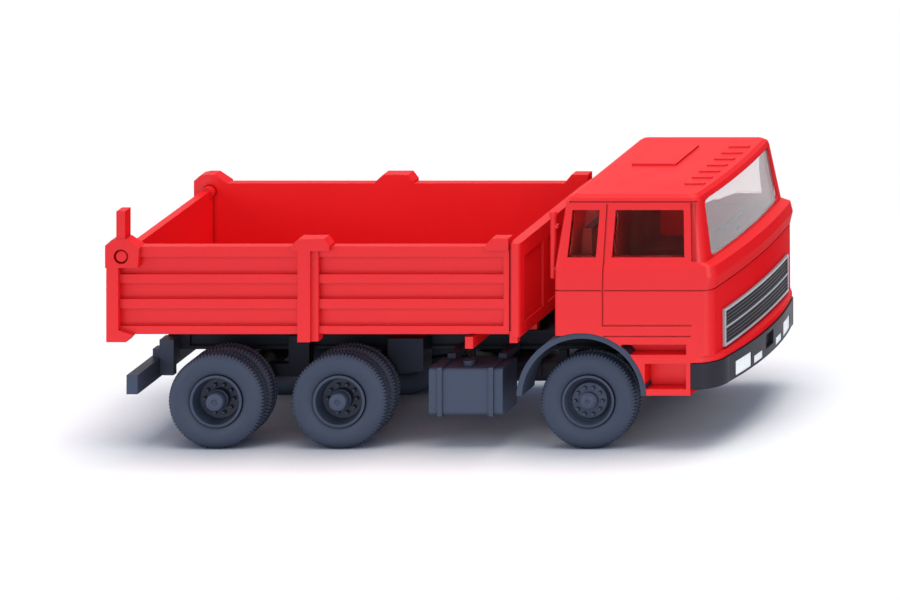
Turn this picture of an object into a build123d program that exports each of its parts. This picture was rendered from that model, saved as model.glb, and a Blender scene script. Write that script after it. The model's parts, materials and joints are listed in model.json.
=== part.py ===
from build123d import *
import os
from math import cos, radians

# Three-axle dump truck, a 1:87 plastic scale model, in millimetres.
# X runs forward, Y to the truck's left and Z up. The origin is on the ground,
# below the middle of the truck's length and width.
# A box in a table has the columns: rear x, front x, inner y, outer y, lower z, upper z.

# Whole truck
rear_end_x = -39.25
front_end_x = 39.25
body_half_width = 14.35
running_clearance = 0.05
seat_clearance = 0.02
rest_gap = 0.05
past = 1.0
beyond_side = body_half_width + past

# Wheels: an axle pin, two rims and single or twin tyres turn together
tyre_radius = 6.0
tyre_bore_radius = 3.3
front_tyre_width = 3.0
twin_tyre_width = 2.5
twin_gap = 0.4
tyre_outer_y = body_half_width - 1.15
axle_pin_radius = 0.6
hub_depth = 1.3
pin_in_hub = 0.45
front_axle_x = 20.95
bogie_centre_x = -18.2
bogie_half_spacing = 7.75
middle_axle_x = bogie_centre_x + bogie_half_spacing
rear_axle_x = bogie_centre_x - bogie_half_spacing

# Chassis frame
rail_outer_y = 4.7
rail_width = 1.0
rail_inner_y = rail_outer_y - rail_width
rail_top_z = 12.4
rail_height = 2.4
rail_bottom_z = rail_top_z - rail_height
rail_flute_depth = 0.35
rail_flange = 0.45
frame_rear_x = -35.6
frame_rear_bevel = 0.8
frame_front_x = 34.0
horn_length = 5.0
horn_front_x = 37.6
horn_top_z = 11.0
cross_member_length = 1.4
cross_member_drop = 0.2
cross_member_x = (-34.9, -18.2, -4.2, 12.2, 33.3)

# Axles and springs
casing_radius = 1.2
casing_half_length = 7.4
gear_case_radius = 2.2
gear_case_half_width = 1.3
spring_width = 1.2
leaf_thickness = 0.4
leaf_step = 0.2
rear_leaves = 4
rear_spring_overhang = 0.9
rear_spring_rise = 1.4
bogie_bracket_half = 1.3
spring_seat_half = 0.7
front_leaves = 3
front_spring_half = 6.6
front_spring_rise = 2.3
front_hanger_offset = 6.2
front_hanger_half = 0.5
front_seat_half = 0.8
front_beam_half = 1.1
front_beam_reach = 9.0

# Engine, gearbox and shafts
engine_box = (23.6, 31.8, 7.0, 12.2)
sump_box = (24.6, 30.8, 6.2, 7.0)
sump_half_width = 2.6
gearbox_box = (17.6, 23.6, 8.6, 11.8)
gearbox_half_width = 2.0
gearbox_tail_x = 14.6
shaft_z = 9.6
tail_radius = 1.0
shaft_radius = 0.5
flange_rise = 0.6

# Underrun beam and its hangers
underrun_beam_box = (-36.95, -35.55, 0, 13.4, 7.1, 9.5)
underrun_hangers = (
    (-35.65, -33.85, rail_outer_y, 6.6, 9.0, 11.8),
    (-35.65, -33.85, 5.7, 6.6, 7.3, 9.2),
)

# Tank, battery box and equipment boxes
tank_box = (0.95, 10.25, 8.2, 13.0, 4.3, 10.2)
tank_edge_radius = 0.45
tank_strap_x = (2.35, 8.8)
tank_strap_half = 0.3
tank_strap_raise = 0.15
carrier_half = 0.5
carrier_z = (10.0, 10.9)
carrier_lap = 1.0
filler_cap = (5.4, 11.2)
filler_cap_radius = 0.75
filler_cap_height = 0.6
battery_case = (2.2, 9.0, 8.4, 13.0, 5.4, 9.6)
battery_lid = (2.0, 9.2, 8.3, 13.15, 9.4, 10.1)
battery_carrier_x = (3.4, 7.8)
rail_box_size = (-6.45, -1.95, rail_outer_y, 7.4, 8.0, 12.2)

# Load bed
wall_inner_y = body_half_width - 1.8
recess_outer_y = body_half_width - 1.1
rib_outer_y = body_half_width - 0.6
wall_bottom_z = 14.85
wall_top_z = 25.8
post_top_z = 26.9
post_foot_z = 13.95
bed_front_x = 11.35
rib_rear_x = -37.6
rib_front_x = 10.65
floor_top_z = 15.2
floor_thickness = 0.8
floor_bottom_z = floor_top_z - floor_thickness
headboard_thickness = 1.4
headboard_half_width = body_half_width - 0.4
headboard_rise = 0.4
headboard_border = 1.6
headboard_panel_z = (15.9, 24.2)
headboard_panel_depth = 0.3
headboard_rib_y = (4.6, 6.0)
headboard_foot_z = 13.7
bearer_outer_y = 4.6
bearer_width = 0.8
# Columns: x, reach to each side
cross_bearers = ((-24.0, 5.6), (-9.0, 5.6), (6.25, rib_outer_y - 0.15))
cross_bearer_half = 0.5
cross_bearer_raise = 0.45
bed_pivot_x = -33.4
bed_pivot_z = 13.4
bed_pin_radius = 0.55
bed_pin_overhang = 0.3
ear_radius = 0.95
ear_thickness = 1.0
ear_side_gap = 0.1
tall_lug = (-37.85, -36.75, 12.6, 14.3, post_top_z - 0.3, 30.4)

# Tailgate
gate_pin_x = -37.25
gate_pin_z = 24.7
gate_pin_radius = 0.85
gate_hole_radius = 0.925
gate_thickness = 1.1
gate_top_z = 25.15
gate_side_clearance = 0.12
gate_border = 1.2
gate_panel_depth = 0.3
gate_rib_y = (-6.0, 0, 6.0)
gate_rib_half = 0.6
gate_pin_root = 1.0
gate_pin_tip_radius = 0.65

# Cab
cab_wall = 0.9
cab_rear_x = 17.15
cab_half_width = body_half_width - 0.1
cab_side_bottom_z = 14.7
cab_step_bottom_z = 7.2
cab_fascia_bottom_z = 11.3
cab_lower_front_x = 34.35
cab_roof_z = 31.9
cab_rear_corner = 0.5
least_corner = 0.8
lip_front_x = 39.05
lip_top_z = 11.95
fascia_bottom_z = 12.15
fascia_front_x = 37.9
waist_z = 20.4
cowl_z = 22.0
cowl_top_z = 23.3
sill_z = 24.4
window_top_z = cab_roof_z - 1.8
windscreen_top_z = cab_roof_z - 1.0
arch_x = 20.55
arch_z = 6.8
arch_radius = 8.2
arch_thickness = 0.7
arch_clearance = 0.05
mudguard_outer_y = body_half_width - 0.35
mudguard_inner_y = 9.8
mudguard_arm_offset = 6.9
mudguard_arm_half = 0.4
mudguard_arm_z = (10.4, 11.2)
step_inner_y = 11.4
step_recess_y = 12.2
step_rear_x = 22.0
arch_panel_front_x = 22.95
seam_depth = 0.15
pillar_seam_depth = 0.3
pane_depth = 0.2
pane_back = 0.75
pane_gap = 0.04
hatch_box = (21.7, 27.3, 0, 8.0, cab_roof_z - 0.2, cab_roof_z + 0.2)
roof_rib_x = (31.3, 33.8)
roof_rib_half = 0.25
roof_rib_height = 0.13
roof_rib_pitch = 2.6
roof_rib_count = 7

# Cab interior
tray_box = (17.0, 36.6, 0, 14.0, 15.1, 15.9)
tray_top_z = 15.9
tray_gap = 0.05
hump_box = (24.0, 32.0, 0, 4.5, rail_top_z, 19.0)
seat_y = 8.6
seat_half_width = 3.0
seat_cushion = (20.6, 26.2, 19.4)
seat_back = [(19.0, tray_top_z), (21.2, tray_top_z), (20.9, 27.4), (19.8, 27.4)]
seat_back_half_width = 2.8
shelf_outline = [(33.2, 20.6), (36.2, 20.6), (36.0, 23.0), (34.0, 23.0)]
shelf_half_width = 11.0
shelf_leg = (34.6, 35.6, 0, 10.0, tray_top_z, 20.8)
wheel_centre = (31.4, 7.4, 22.6)
wheel_rake = -38
wheel_ring_radius = 2.4
wheel_rim_radius = 0.25
wheel_hub_radius = 0.6
wheel_column_radius = 0.3
wheel_column_length = 3.4

# Grille and bumper
grille_half_width = 11.25
grille_bottom_z = 12.4
grille_top_z = 17.1
grille_ring = 0.3
grille_ring_out = 0.32
grille_panel_out = 0.22
grille_slat_floor = 0.1
grille_slat_half = 0.1
grille_bar_half = 0.1
grille_slats = 9
bumper_bottom_z = 7.95
bumper_top_z = 11.2
bumper_rear_x = 28.0
bumper_half_width = body_half_width - 0.05
bumper_corner = 3.2
bumper_bow = 1.15
bumper_wall = 1.3
lamp_pocket_depth = 0.55
lens_set_back = 0.08
tow_recess = (36.0, 41.0, 0, 1.35, 8.9, 10.7)
# Columns: inner y, outer y, lower z, upper z
lamp_places = (
    (5.7, 9.6, 8.2, 10.05),
    (2.3, 4.9, 8.2, 9.2),
)


def block(x0, x1, y0, y1, z0, z1):
    """Box between two corners."""
    centre = Pos((x0 + x1) / 2, (y0 + y1) / 2, (z0 + z1) / 2)
    return centre * Box(abs(x1 - x0), abs(y1 - y0), abs(z1 - z0))


def side_block(side, box):
    """Box of a table row on one side of the middle plane."""
    x0, x1, y0, y1, z0, z1 = box
    return block(x0, x1, side * y0, side * y1, z0, z1)


def across_block(box):
    """Box of a table row, as wide to the right as to the left."""
    x0, x1, _, y1, z0, z1 = box
    return block(x0, x1, -y1, y1, z0, z1)


def side_prism(points, y0, y1):
    """Prism of an outline in the side view, given as (x, z), from y0 to y1."""
    outline = Wire.make_polygon([Vector(x, y0, z) for x, z in points], close=True)
    return extrude(Face(outline), amount=y1 - y0, dir=(0, 1, 0))


def front_prism(points, x0, x1):
    """Prism of an outline in the front view, given as (y, z), from x0 to x1."""
    outline = Wire.make_polygon([Vector(x0, y, z) for y, z in points], close=True)
    return extrude(Face(outline), amount=x1 - x0, dir=(1, 0, 0))


def rod_y(x, z, radius, y0, y1):
    """Round rod along Y."""
    return Pos(x, (y0 + y1) / 2, z) * Rot(90, 0, 0) * Cylinder(radius, abs(y1 - y0))


def rod_x(y, z, radius, x0, x1):
    """Round rod along X."""
    return Pos((x0 + x1) / 2, y, z) * Rot(0, 90, 0) * Cylinder(radius, abs(x1 - x0))


def turned(points, x, z):
    """Body turned about Y at (x, z), from an outline given as (y, radius)."""
    outline = Wire.make_polygon([Vector(0, y, r) for y, r in points], close=True)
    return Pos(x, 0, z) * revolve(Face(outline), Axis.Y)


def both_sides(shape):
    """The shape and its mirror image across the middle plane."""
    return shape + mirror(shape, Plane.XZ)


def save(name, shape):
    """Write one sub-part."""
    export_step(shape, f"parts/{name}.step")


# Wheels
# Columns: depth in from the tyre's face, radius
tyre_shoulder = (
    (0.30, tyre_bore_radius),
    (0.06, 4.2),
    (0.0, 4.9),
    (0.14, 5.6),
    (0.45, tyre_radius),
)
front_disc = (
    (0.35, tyre_bore_radius - seat_clearance),
    (0.35, 3.0),
    (1.05, 2.65),
    (1.25, 2.45),
    (0.85, 2.2),
    (0.65, 1.25),
    (0.65, 0.95),
    (0.25, 0.8),
    (0.15, 0),
)
twin_disc = (
    (0.35, tyre_bore_radius - seat_clearance),
    (0.35, 2.95),
    (1.0, 2.75),
    (1.75, 2.5),
    (1.75, 1.15),
    (1.05, 1.0),
    (0.95, 0),
)


def tyre(x, side, outer_y, width):
    """Round-shouldered tyre whose outer face is outer_y from the middle plane."""
    near = [(side * (outer_y - depth), r) for depth, r in tyre_shoulder]
    far = [(side * (outer_y - width + depth), r) for depth, r in reversed(tyre_shoulder)]
    return turned(near + far, x, tyre_radius)


def rim(x, side, outer_y, width, profile):
    """Wheel disc and drum; the profile runs from the drum's rim to the hub cap."""
    seat = tyre_bore_radius - seat_clearance
    bore = axle_pin_radius + seat_clearance
    inner = outer_y - width + tyre_shoulder[0][0]
    bore_end = outer_y - profile[-1][0] - hub_depth
    outline = [(inner, bore), (inner, seat)]
    outline += [(outer_y - depth, r) for depth, r in profile]
    outline += [(bore_end + 0.5, 0), (bore_end + 0.5, bore)]
    return turned([(side * y, r) for y, r in outline], x, tyre_radius)


def axle_set(name, x, twin):
    """One axle pin with a rim and one or two tyres at each end."""
    width = 2 * twin_tyre_width + twin_gap if twin else front_tyre_width
    disc = twin_disc if twin else front_disc
    pin_end = tyre_outer_y - disc[-1][0] - hub_depth + pin_in_hub
    save(f"{name}_pin", rod_y(x, tyre_radius, axle_pin_radius, -pin_end, pin_end))
    for side_name, side in (("right", -1), ("left", 1)):
        save(f"{name}_rim_{side_name}", rim(x, side, tyre_outer_y, width, disc))
        if twin:
            inner_y = tyre_outer_y - twin_tyre_width - twin_gap
            save(f"{name}_tyre_outer_{side_name}", tyre(x, side, tyre_outer_y, twin_tyre_width))
            save(f"{name}_tyre_inner_{side_name}", tyre(x, side, inner_y, twin_tyre_width))
        else:
            save(f"{name}_tyre_{side_name}", tyre(x, side, tyre_outer_y, front_tyre_width))


# Chassis
def frame_rail():
    """Right or left rail, drawn on the left: bevelled at the rear, fluted outside, with a horn."""
    bevel = frame_rear_bevel
    outline = [(frame_rear_x, rail_bottom_z), (frame_rear_x, rail_top_z - bevel),
               (frame_rear_x + bevel, rail_top_z), (frame_front_x, rail_top_z),
               (frame_front_x, rail_bottom_z)]
    rail = side_prism(outline, rail_inner_y, rail_outer_y)
    rail -= block(frame_rear_x + 3, frame_front_x - 3, rail_outer_y - rail_flute_depth, rail_outer_y,
                  rail_bottom_z + rail_flange, rail_top_z - rail_flange)
    rail += block(horn_front_x - horn_length, horn_front_x, rail_inner_y, rail_outer_y,
                  horn_top_z - rail_height, horn_top_z)
    return rail


def pivot_ear():
    """Ear inside the left rail that holds one end of the bed's pin."""
    outer = bearer_outer_y - bearer_width - ear_side_gap
    inner = outer - ear_thickness
    foot_z = rail_bottom_z + cross_member_drop
    rear, front = bed_pivot_x - ear_radius, bed_pivot_x + ear_radius
    ear = block(rear, front, inner, outer, foot_z, bed_pivot_z)
    ear += rod_y(bed_pivot_x, bed_pivot_z, ear_radius, inner, outer)
    ear += block(rear, front, inner, rail_inner_y, foot_z, rail_top_z - 2 * cross_member_drop)
    return ear - rod_y(bed_pivot_x, bed_pivot_z, bed_pin_radius + running_clearance,
                       inner - past, outer + past)


def chassis_frame():
    """Two rails, their cross members and the ears that hold the bed's pin."""
    frame = both_sides(frame_rail() + pivot_ear())
    half = cross_member_length / 2
    for x in cross_member_x:
        frame += block(x - half, x + half, -rail_inner_y, rail_inner_y,
                       rail_bottom_z + cross_member_drop, rail_top_z - cross_member_drop)
    return frame


def axle_bore(x):
    """Running bore of an axle pin."""
    reach = front_beam_reach + past
    return rod_y(x, tyre_radius, axle_pin_radius + running_clearance, -reach, reach)


def leaf_pack(x, half_length, y_mid, z_top, leaves):
    """Stack of spring leaves, each shorter than the one above."""
    pack = None
    for i in range(leaves):
        reach = half_length * (1 - leaf_step * i)
        plate = block(x - reach, x + reach, y_mid - spring_width / 2, y_mid + spring_width / 2,
                      z_top - leaf_thickness * (i + 1), z_top - leaf_thickness * i)
        pack = plate if pack is None else pack + plate
    return pack


def rear_bogie():
    """Two axle casings with gear cases, hung on a pair of springs and brackets."""
    y_mid = rail_outer_y + 0.2 + spring_width / 2
    spring_top = tyre_radius + casing_radius + rear_spring_rise
    bracket_foot = spring_top - leaf_thickness / 2
    bogie = leaf_pack(bogie_centre_x, bogie_half_spacing + rear_spring_overhang, y_mid, spring_top,
                      rear_leaves)
    bogie += block(bogie_centre_x - bogie_bracket_half, bogie_centre_x + bogie_bracket_half,
                   rail_outer_y, y_mid + spring_width / 2, bracket_foot, rail_top_z - 0.3)
    for x in (rear_axle_x, middle_axle_x):
        bogie += block(x - spring_seat_half, x + spring_seat_half, y_mid - spring_width / 2,
                       y_mid + spring_width / 2, tyre_radius, bracket_foot)
    bogie = both_sides(bogie)
    for x in (rear_axle_x, middle_axle_x):
        bogie += rod_y(x, tyre_radius, casing_radius, -casing_half_length, casing_half_length)
        bogie += rod_y(x, tyre_radius, gear_case_radius, -gear_case_half_width,
                       gear_case_half_width)
        bogie -= axle_bore(x)
    return bogie


def front_axle_beam():
    """Front axle beam on two leaf springs with hangers up to the rails."""
    y_mid = rail_outer_y - 0.3
    spring_top = tyre_radius + front_spring_rise
    beam = leaf_pack(front_axle_x, front_spring_half, y_mid, spring_top, front_leaves)
    for side in (-1, 1):
        x = front_axle_x + side * front_hanger_offset
        beam += block(x - front_hanger_half, x + front_hanger_half, y_mid - 0.4, y_mid + 0.4,
                      spring_top - 0.3, rail_bottom_z)
    beam += block(front_axle_x - front_seat_half, front_axle_x + front_seat_half, y_mid - 0.6,
                  y_mid + 0.6, tyre_radius, spring_top - 1.0)
    beam = both_sides(beam)
    beam += block(front_axle_x - front_beam_half, front_axle_x + front_beam_half,
                  -front_beam_reach, front_beam_reach, tyre_radius - 1.1, tyre_radius + 1.0)
    return beam - axle_bore(front_axle_x)


def engine_gearbox():
    """Engine between the rails below the cab, with its gearbox behind."""
    half = rail_inner_y - seat_clearance
    x0, x1, z0, z1 = engine_box
    engine = block(x0, x1, -half, half, z0, z1)
    x0, x1, z0, z1 = sump_box
    engine += block(x0, x1, -sump_half_width, sump_half_width, z0, z1)
    x0, x1, z0, z1 = gearbox_box
    engine += block(x0, x1, -gearbox_half_width, gearbox_half_width, z0, z1)
    return engine + rod_x(0, shaft_z, tail_radius, gearbox_tail_x, x0)


def shaft_between(x0, z0, x1, z1, radius):
    """Straight shaft in the middle plane between two points."""
    path = Edge.make_line(Vector(x0, 0, z0), Vector(x1, 0, z1))
    disc = Plane(origin=path @ 0, z_dir=path % 0) * Circle(radius)
    return sweep(disc, path=path)


def prop_shafts():
    """Shaft from gearbox to the middle axle and the short one between the axles."""
    reach = gear_case_radius + 0.2
    long_shaft = shaft_between(gearbox_tail_x - 0.2, shaft_z, middle_axle_x + reach + 0.2,
                               tyre_radius + flange_rise, shaft_radius)
    short_shaft = shaft_between(middle_axle_x - reach, tyre_radius, rear_axle_x + reach,
                                tyre_radius, shaft_radius)
    return long_shaft, short_shaft


def underrun_beam():
    """Rear underrun beam on two hangers bolted outside the rails."""
    hangers = side_block(1, underrun_hangers[0]) + side_block(1, underrun_hangers[1])
    return across_block(underrun_beam_box) + both_sides(hangers)


def carriers(side, places, reach):
    """Short arms that carry a tank or box on one rail."""
    z0, z1 = carrier_z
    rows = [(x - carrier_half, x + carrier_half, rail_outer_y, reach, z0, z1) for x in places]
    return [side_block(side, row) for row in rows]


def fuel_tank():
    """Box-shaped tank with two straps, filler cap and arms to the right rail."""
    x0, x1, inner, outer, z0, z1 = tank_box
    tank = fillet(side_block(-1, tank_box).edges().filter_by(Axis.X), tank_edge_radius)
    raised = tank_strap_raise
    for x in tank_strap_x:
        tank += side_block(-1, (x - tank_strap_half, x + tank_strap_half, inner,
                                outer + raised, z0 - raised / 2, z1 + raised))
    for arm in carriers(-1, tank_strap_x, inner + carrier_lap):
        tank += arm
    cap_x, cap_y = filler_cap
    return tank + Pos(cap_x, -cap_y, z1 + filler_cap_height / 2 - 0.1) * Cylinder(
        filler_cap_radius, filler_cap_height + 0.2)


def battery_box():
    """Battery box with a lid on the left, on arms to the rail."""
    box = side_block(1, battery_case) + side_block(1, battery_lid)
    for arm in carriers(1, battery_carrier_x, battery_case[2] + 0.6):
        box += arm
    return box


def rail_box(side):
    """Flat equipment box on the outside of a rail, ahead of the bogie."""
    return side_block(side, rail_box_size)


def mudguard(side):
    """Half-round mudguard over a front wheel, with arms to the rail."""
    y0, y1 = side * mudguard_inner_y, side * mudguard_outer_y
    band = rod_y(arch_x, arch_z, arch_radius, y0, y1)
    band -= rod_y(arch_x, arch_z, arch_radius - arch_thickness, y0 - side, y1 + side)
    band -= block(arch_x - 2 * arch_radius, arch_x + 2 * arch_radius, y0 - side, y1 + side,
                  arch_z - 2 * arch_radius, arch_z + 0.3)
    z0, z1 = mudguard_arm_z
    for sign in (-1, 1):
        x = arch_x + sign * mudguard_arm_offset
        band += side_block(side, (x - mudguard_arm_half, x + mudguard_arm_half, rail_outer_y,
                                  mudguard_inner_y + 0.4, z0, z1))
    return band


# Load bed
# Columns: lower z, upper z of each rib on a side wall
wall_ribs = (
    (wall_bottom_z, 15.8),
    (18.0, 19.2),
    (21.2, 22.3),
    (24.5, wall_top_z),
)
# Outlines of posts and caps in the side view, as (x, z)
rear_post = [(-39.1, post_foot_z), (-39.1, 24.0), (rib_rear_x, 24.0), (rib_rear_x, 15.4),
             (-35.8, wall_bottom_z), (-36.6, post_foot_z)]
rear_cap = [(rear_end_x, 23.3), (rear_end_x, 26.1), (-38.5, 26.75), (-37.8, post_top_z),
            (-36.6, post_top_z), (-34.95, wall_top_z), (-35.15, 23.3)]
middle_cap = [(-15.95, 25.4), (-15.95, 26.0), (-14.95, post_top_z), (-11.75, post_top_z),
              (-11.05, 26.0), (-11.05, 25.4)]
front_cap = [(8.35, 25.4), (8.35, wall_top_z), (9.25, post_top_z), (bed_front_x, post_top_z),
             (bed_front_x, 25.4)]
# Columns: rear x, front x, how far the face lies inside the body's side
middle_post = ((-15.05, -12.55, 0.35), (-15.05, -13.45, 0))


def bed_side(side):
    """Ribbed side wall with rear, middle and front posts."""
    inner = side * wall_inner_y
    outer = side * body_half_width
    rib_outer = side * rib_outer_y
    wall = block(rib_rear_x, bed_front_x, inner, side * recess_outer_y, wall_bottom_z, wall_top_z)
    for z0, z1 in wall_ribs:
        wall += block(rib_rear_x, rib_front_x, inner, rib_outer, z0, z1)
    wall += block(rib_front_x, bed_front_x, inner, rib_outer, wall_bottom_z, wall_top_z)
    for outline in (rear_post, rear_cap, middle_cap):
        wall += side_prism(outline, inner, outer)
    wall += side_prism(front_cap, inner, outer - side * 0.25)
    for x0, x1, set_in in middle_post:
        wall += block(x0, x1, inner, outer - side * set_in, post_foot_z, wall_top_z)
    if side < 0:
        wall += side_block(side, tall_lug)
    return wall - rod_y(gate_pin_x, gate_pin_z, gate_hole_radius, inner - side, outer + side)


def bed_floor():
    """Floor plate between the side walls."""
    rear = gate_pin_x + gate_thickness / 2 + 0.1
    return block(rear, bed_front_x, -wall_inner_y, wall_inner_y, floor_bottom_z, floor_top_z)


def bed_headboard():
    """Front wall with a raised border, two stiffening ribs and corner feet."""
    x0, x1 = bed_front_x, bed_front_x + headboard_thickness
    half = headboard_half_width
    face = x1 - headboard_panel_depth
    z0, z1 = headboard_panel_z
    board = block(x0, x1, -half, half, floor_bottom_z, wall_top_z + headboard_rise)
    front_corners = [e for e in board.edges().filter_by(Axis.Z) if e.center().X > face]
    board = fillet(front_corners, 0.5)
    board -= block(face, x1 + past, headboard_border - half, half - headboard_border, z0, z1)
    for side in (-1, 1):
        rib_y0, rib_y1 = headboard_rib_y
        board += side_block(side, (face - 0.1, x1, rib_y0, rib_y1, z0 - 0.4, z1 + 0.2))
        board -= side_block(side, (x0 - 0.1, x0 + 0.35, half - 0.45, half + past,
                                   headboard_foot_z, wall_top_z + past))
        board += side_block(side, (x0 + 0.1, face, half - 0.95, half - 0.1,
                                   headboard_foot_z, floor_top_z))
    return board


def bed_subframe():
    """Two bearers that rest on the rails, with cross bearers out to the walls."""
    z0 = rail_top_z + rest_gap
    radius = bed_pivot_z - z0
    inner = bearer_outer_y - bearer_width
    bearer = block(bed_pivot_x, bed_front_x, inner, bearer_outer_y, z0, floor_bottom_z)
    bearer += rod_y(bed_pivot_x, bed_pivot_z, radius, inner, bearer_outer_y)
    bearer += block(bed_pivot_x - radius, bed_pivot_x, inner, bearer_outer_y, bed_pivot_z,
                    floor_bottom_z)
    bearer -= rod_y(bed_pivot_x, bed_pivot_z, bed_pin_radius + seat_clearance,
                    inner - past, bearer_outer_y + past)
    frame = both_sides(bearer)
    for x, reach in cross_bearers:
        frame += block(x - cross_bearer_half, x + cross_bearer_half, -reach, reach,
                       z0 + cross_bearer_raise, floor_bottom_z)
    return frame


def bed_hinge_pin():
    """Pin through the bearers and the ears of the frame."""
    reach = bearer_outer_y + bed_pin_overhang
    return rod_y(bed_pivot_x, bed_pivot_z, bed_pin_radius, -reach, reach)


def tailgate():
    """Gate that hangs between the rear posts on two pins near its top edge."""
    x0 = gate_pin_x - gate_thickness / 2
    x1 = gate_pin_x + gate_thickness / 2
    half = wall_inner_y - gate_side_clearance
    gate = block(x0, x1, -half, half, floor_bottom_z, gate_top_z)
    gate -= block(x0 - past, x0 + gate_panel_depth, gate_border - half, half - gate_border,
                  floor_bottom_z + gate_border, gate_top_z - gate_border - 0.4)
    for y in gate_rib_y:
        gate += block(x0, x0 + gate_panel_depth + 0.1, y - gate_rib_half, y + gate_rib_half,
                      floor_bottom_z + 1.0, gate_top_z - 1.4)
    root = half - gate_pin_root
    tip = body_half_width - 0.1
    for side in (-1, 1):
        pin = [(side * root, 0), (side * root, gate_pin_radius), (side * (tip - 0.25), gate_pin_radius),
               (side * tip, gate_pin_tip_radius), (side * tip, 0)]
        gate += turned(pin, gate_pin_x, gate_pin_z)
    return gate


# Cab
# Columns: z, rear x, front x at the middle, half width, front corner radius, bow of the front
cab_sections = (
    (cab_step_bottom_z, cab_rear_x, lip_front_x, cab_half_width, 3.0, 1.15),
    (lip_top_z, cab_rear_x, lip_front_x, cab_half_width, 3.0, 1.15),
    (fascia_bottom_z, cab_rear_x, fascia_front_x, cab_half_width - 0.05, 1.2, 0.75),
    (waist_z, cab_rear_x, fascia_front_x - 0.05, cab_half_width - 0.05, 1.2, 0.75),
    (cowl_z, cab_rear_x, fascia_front_x + 0.35, cab_half_width - 0.1, 1.2, 0.75),
    (cowl_top_z, cab_rear_x, fascia_front_x + 0.1, cab_half_width - 0.25, 1.2, 0.75),
    (cowl_top_z + 0.45, cab_rear_x, fascia_front_x - 1.15, cab_half_width - 0.4, 1.1, 0.7),
    (cab_roof_z - 0.8, 18.0, 35.5, cab_half_width - 1.65, 1.0, 0.55),
    (cab_roof_z - 0.35, 18.3, 35.3, cab_half_width - 1.8, 1.0, 0.5),
    (cab_roof_z, 18.9, 34.8, cab_half_width - 2.25, 0.9, 0.5),
)
# Window outlines in the side view, as (x, z)
door_window = [(24.25, sill_z), (33.4, sill_z), (32.95, window_top_z), (24.4, window_top_z)]
quarter_window = [(18.65, sill_z), (22.25, sill_z), (22.4, window_top_z), (18.95, window_top_z)]
# Window outlines in the front view, as (y, z)
windscreen = [(-11.7, sill_z + 0.1), (-11.2, sill_z - 0.55), (11.2, sill_z - 0.55),
              (11.7, sill_z + 0.1), (11.25, windscreen_top_z - 0.5), (10.8, windscreen_top_z),
              (-10.8, windscreen_top_z), (-11.25, windscreen_top_z - 0.5)]
rear_window = [(-7.5, 25.0), (7.5, 25.0), (7.3, window_top_z - 0.5), (-7.3, window_top_z - 0.5)]
# Gap behind the windscreen pillar, as (x, z)
pillar_gap = [(34.3, 23.95), (34.95, 23.95), (34.4, windscreen_top_z), (33.75, windscreen_top_z)]
# Recesses above each step: rear x, front x, lower z, upper z
step_recesses = ((25.6, 33.8, 12.3, 13.6), (28.6, 33.8, 8.0, 11.2))
# Panel seams on each side: rear x, front x, lower z, upper z
side_seams = (
    (23.2, 23.4, 16.0, 30.8),
    (23.2, 34.5, 15.9, 16.1),
    (23.4, 34.35, 14.55, 14.72),
    (18.5, 34.5, 31.0, 31.15),
)
waist_seam = (cab_rear_x, front_end_x, 0, beyond_side, waist_z - 0.08, waist_z + 0.08)


def corner_arc(x, y, radius, x_sign, y_sign, z, from_front):
    """Quarter arc of a plan corner whose sharp point would be at (x, y)."""
    cut = radius * (1 - cos(radians(45)))
    on_front = (x, y - y_sign * radius, z)
    middle = (x - x_sign * cut, y - y_sign * cut, z)
    on_side = (x - x_sign * radius, y, z)
    ends = (on_front, on_side) if from_front else (on_side, on_front)
    return ThreePointArc(ends[0], middle, ends[1])


def plan_outline(z, rear, front, half, radius, bow):
    """Plan outline of the cab: straight sides, round corners and a bowed front."""
    back = cab_rear_corner
    corner = front - bow
    return Wire([
        Line((rear, back - half, z), (rear, half - back, z)),
        corner_arc(rear, half, back, -1, 1, z, True),
        Line((rear + back, half, z), (corner - radius, half, z)),
        corner_arc(corner, half, radius, 1, 1, z, False),
        ThreePointArc((corner, half - radius, z), (front, 0, z), (corner, radius - half, z)),
        corner_arc(corner, -half, radius, 1, -1, z, True),
        Line((corner - radius, -half, z), (rear + back, -half, z)),
        corner_arc(rear, -half, back, -1, -1, z, False),
    ])


def cab_form(inset):
    """The cab's closed outer form, drawn in by inset on every face but the bottom."""
    wires = []
    for z, rear, front, half, radius, bow in cab_sections:
        height = z - inset if z > cowl_top_z else z
        tight = max(radius - inset, least_corner)
        wires.append(plan_outline(height, rear + inset, front - inset, half - inset, tight, bow))
    return Solid.make_loft(wires, ruled=True)


def shrunk(points, gap):
    """Outline drawn in towards its middle by gap."""
    mid_a = sum(p[0] for p in points) / len(points)
    mid_b = sum(p[1] for p in points) / len(points)
    return [(a - gap if a > mid_a else a + gap, b - gap if b > mid_b else b + gap)
            for a, b in points]


def window_prisms(gap):
    """One prism through each window opening, drawn in by gap."""
    prisms = []
    for side in (-1, 1):
        for outline in (door_window, quarter_window):
            prisms.append(side_prism(shrunk(outline, gap), side * 11.0, side * beyond_side))
    prisms.append(front_prism(shrunk(windscreen, gap), 33.0, front_end_x))
    prisms.append(front_prism(shrunk(rear_window, gap), cab_rear_x - past, 20.0))
    return prisms


def step_pillars(outer):
    """The lower corners of the cab that hold the steps, one on each side."""
    lower = block(step_rear_x, cab_lower_front_x, -beyond_side, beyond_side,
                  cab_step_bottom_z, cab_side_bottom_z)
    middle = block(step_rear_x - past, cab_lower_front_x + past, -step_inner_y, step_inner_y,
                   cab_step_bottom_z - past, cab_side_bottom_z + past)
    return (outer & lower) - middle


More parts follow.
